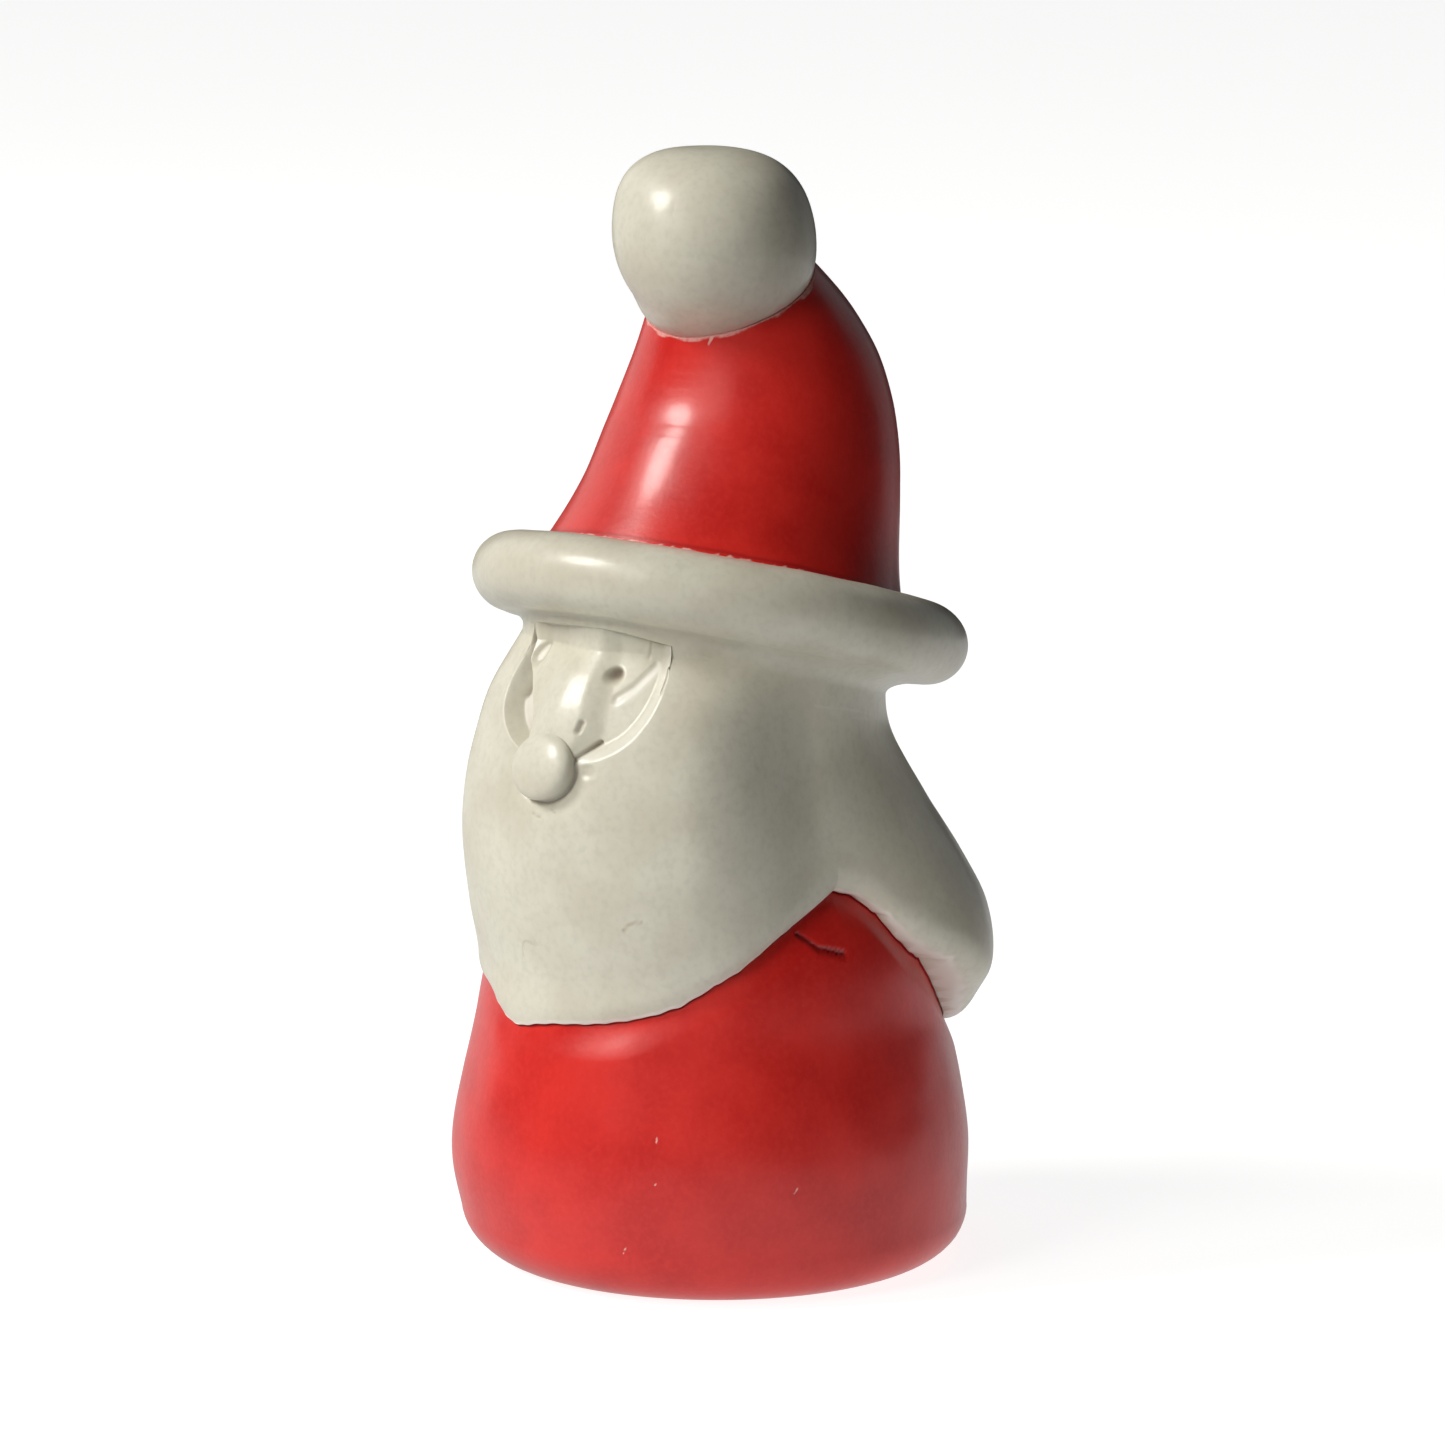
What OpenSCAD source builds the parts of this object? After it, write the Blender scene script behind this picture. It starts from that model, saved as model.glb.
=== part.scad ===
// Tomte gnome: a small soapstone figure. A red robe carries a pale head with a long beard and a
// sweep of hair, and a tall red hat with a rolled brim and a pompom sits on it, tipped back.
// The figure faces -Y and stands on Z = 0, with the robe's axis on the origin. Angles round the
// axis are in degrees from the front, positive towards the figure's own left (+X).

/* [Robe] */
// Flat disc that the figure stands on
foot_d = 32.4; // [28:0.1:38]
// Height of the rounded edge above the flat disc
foot_round = 4.2; // [3:0.1:6]
// Diameter at the top of that rounded edge
skirt_d = 41.6; // [35:0.1:50]
// Diameter at the fullest place
belly_d = 42.5; // [36:0.1:51]
// Height of the fullest place
belly_h = 8.5; // [7:0.1:11]
// Diameter under the beard
chest_d = 38.8; // [34:0.1:46]
// Height at which the chest is measured
chest_h = 20; // [16:0.1:24]
// Diameter where the top rounds over
shoulder_d = 31; // [27:0.1:37]
// Height of the robe, and of the shoulders' top
robe_h = 36; // [30:0.1:44]

/* [Head] */
// Height of the brim's middle above the robe
head_h = 17.4; // [14.5:0.1:21]
// Diameter of the neck under the brim
neck_d = 29.2; // [27:0.1:35]
// How far the beard stands out from the neck
beard_bulge = 6; // [4.5:0.1:8]
// How far the hair stands out behind
hair_bulge = 8.6; // [6:0.1:11]
// How far the hollow between beard and hair stands out
temple_bulge = 4.3; // [3:0.1:5.5]
// How far the beard's tip hangs below the robe's top
beard_drop = 14.8; // [12:0.1:18]
// How far the hair hangs below the robe's top
hair_drop = 19; // [15:0.1:22]
// How far the beard and hair hang where they meet
temple_drop = 3.8; // [2.5:0.1:5]
// Height over which the lower edge rounds in to the robe
hem_round = 4.5; // [3:0.1:6]
// How far the lower edge stands proud of the robe
hem_lip = 0.4; // [0.3:0.05:1]

/* [Face] */
// Half the angle that the face takes up, in degrees
face_half = 26; // [20:0.5:32]
// Height of the face below the brim's middle
face_h = 9.8; // [8:0.1:12]
// Squareness of the face's lower edge, where 2 is an ellipse
face_square = 2.4; // [2:0.1:3]
// Depth of the face under the beard's surface
face_depth = 1.2; // [0.5:0.1:1.6]
// Half the angle of the ridge that runs down to the nose
bridge_half = 8; // [5:0.5:11]
// Diameter of the nose
nose_d = 5.7; // [4:0.1:7]
// Diameter of the nose's peg
peg_d = 2.4; // [1.6:0.1:3]
// Diameter of an eye
eye_d = 1.4; // [0.8:0.1:2]

/* [Hat] */
// Backward tilt of the hat, in degrees
hat_tilt = 15.6; // [8:0.1:20]
// Distance of the brim's middle behind the robe's axis
hat_back = 1.2; // [0:0.1:3]
// Outer diameter of the brim
brim_d = 41; // [36:0.1:50]
// Thickness of the brim's roll
roll_d = 6.4; // [5:0.1:7.5]
// Diameter of the crown where it meets the brim
crown_d = 29.2; // [25:0.1:34]
// Height of the crown's straight line from base to tip
crown_h = 22.7; // [19:0.1:27.5]
// Diameter of the crown's tip
tip_d = 14.2; // [12:0.1:16]
// Backward lean of the crown as it leaves the brim, in degrees
base_lean = 20; // [10:0.5:28]
// Forward lean of the tip, in degrees
tip_lean = 27; // [10:0.5:35]
// Distance of the tip behind the robe's axis
tip_back = 2.6; // [1:0.1:5]
// Diameter of the pompom
pompom_d = 16.7; // [15:0.1:20]

/* [Joinery] */
// Diameter of the core inside the beard and hair
core_d = 25; // [20.8:0.1:26]
// Diameter of the tenon that stands in the robe
robe_tenon_d = 16; // [12:0.1:20]
// Length of that tenon
robe_tenon_l = 8; // [5:0.1:12]
// Diameter of the tenon that carries the hat
hat_tenon_d = 14; // [10:0.1:17]
// Length of that tenon above the brim
hat_tenon_l = 5; // [3:0.1:6]
// Diameter of the pompom's tenon
pompom_tenon_d = 6; // [4:0.1:8]
// Length of the pompom's tenon
pompom_tenon_l = 5; // [3:0.1:7]
// Clearance all round a tenon, a peg or a fitted shell
fit_gap = 0.1; // [0.05:0.05:0.3]
// Angle between neighbouring columns of a carved surface
column = 3; // [2.5:0.5:5]

/* [Hidden] */
$fn = 72;
red = "crimson";
cream = "beige";

temple_at = 78;            // angle at which the beard and hair meet
face_at = 1;               // angle of the middle of the face
nose_at = -0.5;            // angle of the nose
nose_above = 7.4;          // height of the nose above the robe
tip_at = -18;              // angle of the beard's tip
eyes = [[-20, 1.7], [11.5, 2.7]]; // angle of each eye, and how far it lies below the brim
far = 60;                  // longer than any cut needs
least_wall = 0.9;          // thinnest wall left in a carved shell
least_hem = 0.3;           // thinnest edge left along a hem
neck_fillet = 1.4;         // height of the hollow under the brim's roll
crown_seat = roll_d / 2;   // height of the crown's seat above the brim's middle

// Each outline is a list of [place, share], and a smooth curve runs through its points. For the
// beard, the hair and the temple the place is the height above the robe's top as a share of
// head_h, and the share is of the bulge. For a hem the place is the angle, and the share is of
// the drop below the temple's edge.
beard_outline = [[-1, 0.7], [-0.63, 0.74], [-0.35, 0.9], [-0.06, 1], [0.23, 0.97], [0.46, 0.84],
    [0.69, 0.6], [0.92, 0.13]];
hair_outline = [[-1.1, 0.78], [-0.86, 0.86], [-0.63, 1], [-0.4, 0.94], [-0.17, 0.72],
    [0.11, 0.37], [0.46, 0], [0.9, 0]];
temple_outline = [[-1.2, 1], [-0.8, 0.93], [-0.46, 0.74], [-0.17, 0.53], [0.11, 0.37],
    [0.46, 0.14], [0.9, 0.1]];
beard_hem = [[-temple_at, 0], [-66, 0.42], [-50, 0.73], [-28, 0.85], [tip_at, 1], [0, 0.95],
    [20, 0.87], [30, 0.78], [45, 0.53], [60, 0.24], [temple_at, 0]];
hair_hem = [[temple_at, 0], [86, 0.05], [98, 0.29], [108, 0.45], [125, 0.76], [134, 0.89],
    [155, 0.98], [180, 1]];
crown_outline = [[0, 1], [0.15, 0.925], [0.35, 0.86], [0.6, 0.775], [0.8, 0.655], [1, tip_d / crown_d]];

// Cubic through the points of an outline, held flat beyond its ends.
function slope_between(t, i) = (t[i + 1][1] - t[i][1]) / (t[i + 1][0] - t[i][0]);
function slope_at(t, i) =
    i == 0 ? slope_between(t, 0) :
    i == len(t) - 1 ? slope_between(t, i - 1) :
    let (before = t[i][0] - t[i - 1][0], after = t[i + 1][0] - t[i][0])
    (slope_between(t, i - 1) * after + slope_between(t, i) * before) / (before + after);
function span_of(t, x, i = 0) = i >= len(t) - 2 || x < t[i + 1][0] ? i : span_of(t, x, i + 1);
function smooth(t, x) =
    let (
        at = min(max(x, t[0][0]), t[len(t) - 1][0]),
        i = span_of(t, at),
        width = t[i + 1][0] - t[i][0],
        s = (at - t[i][0]) / width,
        a = slope_at(t, i) * width,
        b = slope_at(t, i + 1) * width
    )
    t[i][1] * (2 * pow(s, 3) - 3 * s * s + 1) + a * (pow(s, 3) - 2 * s * s + s)
    + t[i + 1][1] * (3 * s * s - 2 * pow(s, 3)) + b * (pow(s, 3) - s * s);

// 0 below a, 1 above b and an S curve between them.
function ramp(a, b, x) = let (s = min(max((x - a) / (b - a), 0), 1)) s * s * (3 - 2 * s);
function mix(a, b, s) = a + (b - a) * s;
function round_place(angle, r, z) = [r * sin(angle), -r * cos(angle), z];

// The robe's radius at a height above its rounded foot.
robe_outline = [[foot_round, skirt_d / 2], [belly_h, belly_d / 2], [chest_h, chest_d / 2],
    [robe_h - 3, shoulder_d / 2], [robe_h, core_d / 2]];
function robe_r(z) = smooth(robe_outline, z);

// The hat's own frame: its origin is the brim's middle, and its axis leans back by hat_tilt.
brim_z = robe_h + head_h;
neck_at = -roll_d / 2 - neck_fillet;
module in_hat() translate([0, hat_back, brim_z]) rotate([-hat_tilt, 0, 0]) children();
function hat_place(up) = [0, hat_back + up * sin(hat_tilt), brim_z + up * cos(hat_tilt)];
// Height of the plane on which the brim sits, straight above a place.
function neck_z(y) = brim_z + neck_at / cos(hat_tilt) - (y - hat_back) * tan(hat_tilt);

// The carved surface of the beard, the temples and the hair as one radius.
function turn(angle) = abs(angle > 180 ? angle - 360 : angle);
function head_r(angle, z) =
    let (
        level = (z - robe_h) / head_h,
        a = turn(angle),
        temple = temple_bulge * smooth(temple_outline, level),
        beard = beard_bulge * smooth(beard_outline, level),
        hair = hair_bulge * smooth(hair_outline, level)
    )
    neck_d / 2 + temple + (beard - temple) * (1 - ramp(34, 74, a)) + (hair - temple) * ramp(74, 122, a);
function hem_z(angle) =
    abs(angle) <= temple_at
        ? robe_h - temple_drop - (beard_drop - temple_drop) * smooth(beard_hem, angle)
        : robe_h - temple_drop - (hair_drop - temple_drop) * smooth(hair_hem, turn(angle));
// Radius of what a shell lies on: the robe, then the core above it.
function inside_r(z) = fit_gap + (z < robe_h ? robe_r(z) : core_d / 2);
function carved_r(angle, z) =
    let (
        above = min(max((z - hem_z(angle)) / hem_round, 0), 1),
        full = sqrt(1 - pow(1 - above, 2))
    )
    max(mix(inside_r(z) + hem_lip, head_r(angle, z), full), inside_r(z) + mix(least_hem, least_wall, full));

// The face is a U-shaped field between the beard and the brim.
function face_floor(angle) =
    let (s = min(abs(angle - face_at) / (face_half + 1.5), 1))
    brim_z - face_h + (face_h - 1.3) * (1 - pow(1 - pow(s, face_square), 1 / face_square));
function in_face(angle) = abs(angle - face_at) <= face_half;
// Heights at which a radius, a shell's outside and its inside meet the brim.
function neck_over(angle, r) = neck_z(-r * cos(angle));
function outer_top(angle, steps = 3) =
    steps == 0 ? neck_over(angle, neck_d / 2)
               : neck_over(angle, carved_r(angle, outer_top(angle, steps - 1)));
function inner_top(angle) = neck_over(angle, inside_r(robe_h));
function face_r(angle, z) =
    let (bridge = 1 - ramp(bridge_half - 2, bridge_half + 3, abs(angle - nose_at)))
    max(carved_r(angle, z) - face_depth * (1 - bridge), inside_r(z) + least_wall);

// Closed loops of points, one after another, joined into a skin with a cap at each end.
module skin(loops) {
    n = len(loops[0]);
    last = len(loops) - 1;
    sides = [
        for (i = [0:last - 1], j = [0:n - 1])
            let (a = i * n + j, b = i * n + (j + 1) % n)
            each [[a, a + n, b], [b, a + n, b + n]]
    ];
    caps = [[for (j = [0:n - 1]) j], [for (j = [n - 1:-1:0]) last * n + j]];
    polyhedron([for (loop = loops) each loop], concat(sides, caps));
}

// A column of a shell: up its outside, in steps that are closer near the hem, and down its inside.
outer_steps = 17;
inner_steps = 9;
function column_loop(angle) =
    let (
        low = hem_z(angle),
        under_face = in_face(angle) ? face_floor(angle) - fit_gap : far + robe_h,
        outer_high = min(outer_top(angle), under_face),
        inner_high = min(inner_top(angle), under_face)
    )
    concat(
        [for (i = [0:outer_steps])
            let (z = mix(low, outer_high, pow(i / outer_steps, 1.5)))
            round_place(angle, carved_r(angle, z), z)],
        [round_place(angle, inside_r(robe_h), inner_high)],
        [for (i = [0:inner_steps])
            let (z = mix(robe_h, low, i / inner_steps))
            round_place(angle, inside_r(z), z)]
    );
module shell(from, to) {
    skin([for (angle = [to:-column:from]) column_loop(angle)]);
}

// The nose lies flat on the beard's slope, and its peg runs straight in.
nose_z = robe_h + nose_above;
nose_r = carved_r(nose_at, nose_z);
nose_slope = atan((carved_r(nose_at, nose_z - 1) - carved_r(nose_at, nose_z + 1)) / 2);
module in_nose()
    translate(round_place(nose_at, nose_r, nose_z))
        rotate([90 - nose_slope, 0, nose_at]) children();
module nose_peg(gap) in_nose() translate([0, 0, -nose_d]) cylinder(d = peg_d + 2 * gap, h = nose_d);

// The crown follows a curve that leaves the brim leaning back and ends leaning forward.
crown_foot = hat_place(crown_seat);
crown_top = [0, tip_back, crown_foot[2] + crown_h];
function lean(angle) = [0, sin(angle), cos(angle)];
crown_path = [
    crown_foot,
    crown_foot + lean(base_lean) * crown_h * 0.37,
    crown_top - lean(-tip_lean) * crown_h * 0.47,
    crown_top
];
function path_at(s) =
    crown_path[0] * pow(1 - s, 3) + crown_path[1] * 3 * s * pow(1 - s, 2)
    + crown_path[2] * 3 * s * s * (1 - s) + crown_path[3] * pow(s, 3);
function path_lean(s) =
    let (d = path_at(min(s + 0.01, 1)) - path_at(max(s - 0.01, 0)))
    s == 0 ? hat_tilt : s == 1 ? -tip_lean : atan2(d[1], d[2]);
function crown_ring(s) =
    let (c = path_at(s), r = crown_d / 2 * smooth(crown_outline, s), a = path_lean(s))
    [for (t = [0:6:354]) c + [r * sin(t), -r * cos(t) * cos(a), r * cos(t) * sin(a)]];
crown_rings = 20;
module in_tip() translate(crown_top) rotate([tip_lean, 0, 0]) children();

// The pompom is cut flat where it is a little narrower than the tip.
pompom_up = sqrt(pow(pompom_d / 2, 2) - pow(tip_d / 2 - 0.2, 2));

module robe() color(red) difference() {
    rotate_extrude() polygon(concat(
        [[0, 0]],
        [for (a = [0:15:75]) [foot_d / 2 + (skirt_d - foot_d) / 2 * sin(a), foot_round * (1 - cos(a))]],
        [for (i = [0:22]) let (z = mix(foot_round, robe_h, i / 22)) [robe_r(z), z]],
        [[0, robe_h]]
    ));
    translate([0, 0, robe_h - robe_tenon_l - fit_gap])
        cylinder(d = robe_tenon_d + 2 * fit_gap, h = far);
}

// The core stands in the robe, fills the beard and hair, and carries the hat on a leaning tenon.
module head() color(cream) {
    difference() {
        union() {
            translate([0, 0, robe_h]) cylinder(d = core_d, h = head_h);
            translate([0, 0, robe_h - robe_tenon_l]) cylinder(d = robe_tenon_d, h = robe_tenon_l + 1);
        }
        in_hat() translate([-far, -far, neck_at]) cube([2 * far, 2 * far, far]);
        nose_peg(fit_gap);
    }
    in_hat() translate([0, 0, neck_at - 1])
        cylinder(d = hat_tenon_d, h = 1 - neck_at + crown_seat + hat_tenon_l);
}

module face() color(cream) difference() {
    skin([
        for (angle = [face_at + face_half:-2:face_at - face_half])
            let (
                low = face_floor(angle),
                near = face_r(angle, outer_top(angle)),
                high = max(neck_over(angle, near), low + 0.3)
            )
            concat(
                [for (i = [0:8])
                    let (z = mix(low, high, i / 8))
                    round_place(angle, face_r(angle, z), z)],
                [round_place(angle, inside_r(high), max(inner_top(angle), low + 0.2)),
                    round_place(angle, inside_r(low), low)]
            )
    ]);
    nose_peg(fit_gap);
    for (eye = eyes)
        let (z = neck_z(-neck_d / 2) - eye[1])
        translate(round_place(eye[0], face_r(eye[0], z) - eye_d / 2, z))
            rotate([90, 0, eye[0]]) cylinder(d = eye_d, h = far);
}

module nose() color(cream) {
    difference() {
        in_nose() sphere(d = nose_d);
        in_nose() translate([-far, -far, -2 * far]) cube([2 * far, 2 * far, 2 * far]);
    }
    nose_peg(0);
}

module beard() color(cream) difference() {
    shell(-temple_at, temple_at);
    nose_peg(fit_gap);
}

module hair() color(cream) shell(temple_at, 360 - temple_at);

// A ring over the tenon: a rolled edge, a shallow hollow inside it, and a seat for the crown.
module hat_brim() color(cream) in_hat() {
    tube_r = roll_d / 2;
    tube_at = brim_d / 2 - tube_r;
    bore_r = hat_tenon_d / 2 + fit_gap;
    neck_r = neck_d / 2 + 0.6;
    rotate_extrude() polygon(concat(
        [[bore_r, neck_at], [neck_r, neck_at]],
        [for (a = [18:18:72]) [mix(neck_r, tube_at, 1 - cos(a)), neck_at + neck_fillet * sin(a)]],
        [for (a = [-90:12:90]) [tube_at + tube_r * cos(a), tube_r * sin(a)]],
        [[mix(crown_d / 2, tube_at, 0.5), crown_seat - 0.3], [crown_d / 2, crown_seat],
            [bore_r, crown_seat]]
    ));
}

module hat_crown() color(red) difference() {
    skin([for (i = [0:crown_rings]) crown_ring(i / crown_rings)]);
    in_hat() cylinder(d = hat_tenon_d + 2 * fit_gap, h = crown_seat + hat_tenon_l + fit_gap);
    in_tip() translate([0, 0, -pompom_tenon_l - fit_gap])
        cylinder(d = pompom_tenon_d + 2 * fit_gap, h = far);
}

module pompom() color(cream) in_tip() {
    difference() {
        translate([0, 0, pompom_up]) sphere(d = pompom_d);
        translate([-far, -far, -2 * far]) cube([2 * far, 2 * far, 2 * far]);
    }
    translate([0, 0, -pompom_tenon_l]) cylinder(d = pompom_tenon_d, h = pompom_tenon_l + 1);
}

robe();
head();
face();
nose();
beard();
hair();
hat_brim();
hat_crown();
pompom();
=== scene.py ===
import math

import bpy
import numpy as np
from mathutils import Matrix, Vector


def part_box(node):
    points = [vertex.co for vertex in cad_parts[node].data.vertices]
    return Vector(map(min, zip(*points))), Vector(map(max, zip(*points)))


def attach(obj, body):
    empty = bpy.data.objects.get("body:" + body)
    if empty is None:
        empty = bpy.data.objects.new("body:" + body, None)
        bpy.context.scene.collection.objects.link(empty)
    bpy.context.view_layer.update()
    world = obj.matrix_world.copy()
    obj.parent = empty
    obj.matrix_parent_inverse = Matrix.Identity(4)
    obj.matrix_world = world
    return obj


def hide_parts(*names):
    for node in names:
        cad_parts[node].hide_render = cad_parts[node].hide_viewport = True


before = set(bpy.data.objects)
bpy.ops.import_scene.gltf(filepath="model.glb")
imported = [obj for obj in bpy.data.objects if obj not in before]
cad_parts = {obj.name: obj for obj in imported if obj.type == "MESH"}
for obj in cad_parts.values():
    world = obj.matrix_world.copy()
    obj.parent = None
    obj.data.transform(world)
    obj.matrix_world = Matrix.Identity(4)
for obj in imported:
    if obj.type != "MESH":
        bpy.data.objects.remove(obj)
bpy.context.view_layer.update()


# The robe
#
# The lowest lump of soapstone, turned and filed to a soft pear shape and stained red. A knife
# line runs round it under the beard and hair, where the surface is pinched in to meet them.


def corners(node):
    """A CAD node's lowest and highest corners, in millimetres like every size in this file."""
    low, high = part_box(node)
    return np.array(low) * 1000, np.array(high) * 1000


def ramp(low, high, x):
    """0 at low, 1 at high and an S curve between them, held flat beyond both."""
    s = np.clip((x - low) / (high - low), 0, 1)
    return s * s * (3 - 2 * s)


def mix(a, b, share):
    """a at share 0, b at share 1."""
    return a + (b - a) * share


def larger(a, b, blend):
    """The larger of two values, with a rounded change from one to the other."""
    return (a + b + np.sqrt((a - b) ** 2 + blend**2)) / 2


def smooth(outline, x):
    """Cubic through an outline's (place, value) points, held flat beyond its ends."""
    place, value = np.array(outline, float).T
    gap = np.diff(place)
    rise = np.diff(value) / gap
    inner = (rise[:-1] * gap[1:] + rise[1:] * gap[:-1]) / (gap[:-1] + gap[1:])
    slope = np.concatenate([rise[:1], inner, rise[-1:]])
    at = np.clip(x, place[0], place[-1])
    i = np.clip(np.searchsorted(place, at, side="right") - 1, 0, len(gap) - 1)
    s = (at - place[i]) / gap[i]
    start = value[i] * (2 * s**3 - 3 * s**2 + 1) + slope[i] * gap[i] * (s**3 - 2 * s**2 + s)
    end = value[i + 1] * (3 * s**2 - 2 * s**3) + slope[i + 1] * gap[i] * (s**3 - s**2)
    return start + end


def signed(angle):
    """An angle round the axis, from -180 to 180, where 0 is the front."""
    return (angle + 180) % 360 - 180


def jagged(angle, seed, size, finest=120):
    """How far a line cut by hand strays from its course, all the way round the figure."""
    random = np.random.default_rng(seed)
    waves = random.integers(finest // 8, finest, 14)
    starts = random.uniform(0, 2 * math.pi, 14)
    stray = sum(np.sin(np.radians(angle) * w + s) for w, s in zip(waves, starts))
    return size * stray / math.sqrt(len(waves) / 2)


def mark(angle, z, radius, path, half_width):
    """1 along a path of (angle, height) points on a round surface, falling to 0 beside it."""
    across = np.radians(angle) * radius
    near = np.full(np.broadcast(angle, z).shape, 1e3)
    for (a0, z0), (a1, z1) in zip(path, path[1:] or path):
        x0, x1 = math.radians(a0) * radius, math.radians(a1) * radius
        length2 = (x1 - x0) ** 2 + (z1 - z0) ** 2 or 1
        along = np.clip(((across - x0) * (x1 - x0) + (z - z0) * (z1 - z0)) / length2, 0, 1)
        gap = np.hypot(across - mix(x0, x1, along), z - mix(z0, z1, along))
        near = np.minimum(near, gap)
    return 1 - ramp(0, half_width, near)


def place(angle, r, z):
    """Points at an angle, a radius and a height, with the angle measured from the front."""
    turn = np.radians(angle)
    return np.stack(np.broadcast_arrays(r * np.sin(turn), -r * np.cos(turn), z), -1)


def columns(*spans):
    """Angles of a surface's columns. Each span is its first and last angle and about its step."""
    parts = [np.linspace(a, b, round((b - a) / step), endpoint=False) for a, b, step in spans]
    return np.concatenate(parts)


def woven(name, grid, ends, marks=None):
    """A closed mesh from rows of points that each run round. Its ends close to a point with
    "points", flat with "flat", or onto each other with "ring". Marks are saved as attributes."""
    rows, count = grid.shape[:2]
    points = grid.reshape(-1, 3)
    row = np.arange(rows if ends == "ring" else rows - 1)[:, None]
    col = np.arange(count)[None, :]
    corner = [
        ((row + up) % rows) * count + (col + over) % count
        for up, over in ((0, 0), (0, 1), (1, 1), (1, 0))
    ]
    faces = np.stack(corner, -1).reshape(-1, 4).tolist()
    first, last = list(range(count)), [(rows - 1) * count + i for i in range(count)]
    if ends == "points":
        points = np.concatenate([points, [grid[0].mean(0), grid[-1].mean(0)]])
        low, high = len(points) - 2, len(points) - 1
        faces += [[low, first[(i + 1) % count], first[i]] for i in range(count)]
        faces += [[high, last[i], last[(i + 1) % count]] for i in range(count)]
    if ends == "flat":
        faces += [first[::-1], last]
    a, b, c = points[[face[:3] for face in faces]].transpose(1, 0, 2)
    volume = (a * np.cross(b, c)).sum()
    if volume < 0:
        faces = [face[::-1] for face in faces]
    mesh = bpy.data.meshes.new(name)
    mesh.from_pydata((points * 0.001).tolist(), [], faces)
    for key, values in (marks or {}).items():
        flat = np.zeros(len(points), np.float32)
        flat[: rows * count] = np.broadcast_to(values, (rows, count)).ravel()
        mesh.attributes.new(key, "FLOAT", "POINT").data.foreach_set("value", flat)
    return mesh


class Wire:
    """A socket in a node tree. Arithmetic on it adds Math nodes, and node() adds any other."""

    def __init__(self, tree, socket=None):
        self.tree = tree
        self.socket = socket

    def node(self, kind, settings=None, values=None, out=0):
        """Adds a node, sets its settings, then gives its sockets values or links them. A socket
        is named, or counted among those in use."""
        node = self.tree.nodes.new(kind)
        for key, setting in (settings or {}).items():
            setattr(node, key, setting)
        for key, value in (values or {}).items():
            socket = self.pick(node.inputs, key)
            if isinstance(value, Wire):
                self.tree.links.new(value.socket, socket)
            else:
                socket.default_value = value
        return Wire(self.tree, self.pick(node.outputs, out))

    def pick(self, sockets, key):
        used = [socket for socket in sockets if socket.enabled]
        return used[key] if isinstance(key, int) else next(s for s in used if s.name == key)

    def maths(self, operation, a, b):
        return self.node("ShaderNodeMath", {"operation": operation}, {0: a, 1: b})

    def __add__(self, other):
        return self.maths("ADD", self, other)

    def __sub__(self, other):
        return self.maths("SUBTRACT", self, other)

    def __rsub__(self, other):
        return self.maths("SUBTRACT", other, self)

    def __mul__(self, other):
        return self.maths("MULTIPLY", self, other)

    __radd__ = __add__
    __rmul__ = __mul__

    def between(self, low, high):
        """0 where the value is below low, 1 where it is above high, and an S curve between."""
        settings = {"interpolation_type": "SMOOTHSTEP"}
        return self.node("ShaderNodeMapRange", settings, {0: self, 1: low, 2: high, 3: 0, 4: 1})


def millimetres(wire, socket_kind, output):
    """The place of a point in millimetres, from a node that gives it in metres."""
    metres = wire.node(socket_kind, out=output)
    return wire.node("ShaderNodeVectorMath", {"operation": "SCALE"}, {0: metres, "Scale": 1000})


def hand_rub_tree():
    """Geometry nodes that turn a true shape into one that was filed and rubbed by hand. The
    offset depends on the place alone, so pieces that meet move together and stay closed."""
    tree = bpy.data.node_groups.new("hand_rub", "GeometryNodeTree")
    for name, kind in (
        ("Geometry", "NodeSocketGeometry"),
        ("File Stray", "NodeSocketFloat"),
        ("Rub Stray", "NodeSocketFloat"),
        ("Seed", "NodeSocketFloat"),
        ("Stone", "NodeSocketMaterial"),
    ):
        tree.interface.new_socket(name, in_out="INPUT", socket_type=kind)
    tree.interface.new_socket("Geometry", in_out="OUTPUT", socket_type="NodeSocketGeometry")
    wire = Wire(tree)
    group = tree.nodes.new("NodeGroupInput")
    given = {socket.name: Wire(tree, socket) for socket in group.outputs}
    where = millimetres(wire, "GeometryNodeInputPosition", "Position")
    shifted = wire.node("ShaderNodeVectorMath", {"operation": "ADD"}, {0: where, 1: given["Seed"]})
    offset = None
    for stray, wave in (("File Stray", 13.0), ("Rub Stray", 4.0)):
        noise = wire.node(
            "ShaderNodeTexNoise", None, {"Vector": shifted, "Scale": 1 / wave, "Detail": 0.0}, "Color"
        )
        centred = wire.node(
            "ShaderNodeVectorMath", {"operation": "SUBTRACT"}, {0: noise, 1: (0.5, 0.5, 0.5)}
        )
        scaled = wire.node(
            "ShaderNodeVectorMath", {"operation": "SCALE"}, {0: centred, "Scale": given[stray] * 0.002}
        )
        offset = scaled if offset is None else wire.node(
            "ShaderNodeVectorMath", {"operation": "ADD"}, {0: offset, 1: scaled}
        )
    height = wire.node("ShaderNodeSeparateXYZ", None, {0: where}, "Z")
    above = height.between(0.2, 4.0)
    offset = wire.node("ShaderNodeVectorMath", {"operation": "SCALE"}, {0: offset, "Scale": above})
    moved = wire.node("GeometryNodeSetPosition", None, {0: given["Geometry"], "Offset": offset})
    real = wire.node("GeometryNodeRealizeInstances", None, {0: moved})
    done = wire.node("GeometryNodeSetMaterial", None, {0: real, "Material": given["Stone"]})
    tree.links.new(done.socket, tree.nodes.new("NodeGroupOutput").inputs[0])
    return tree


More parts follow.
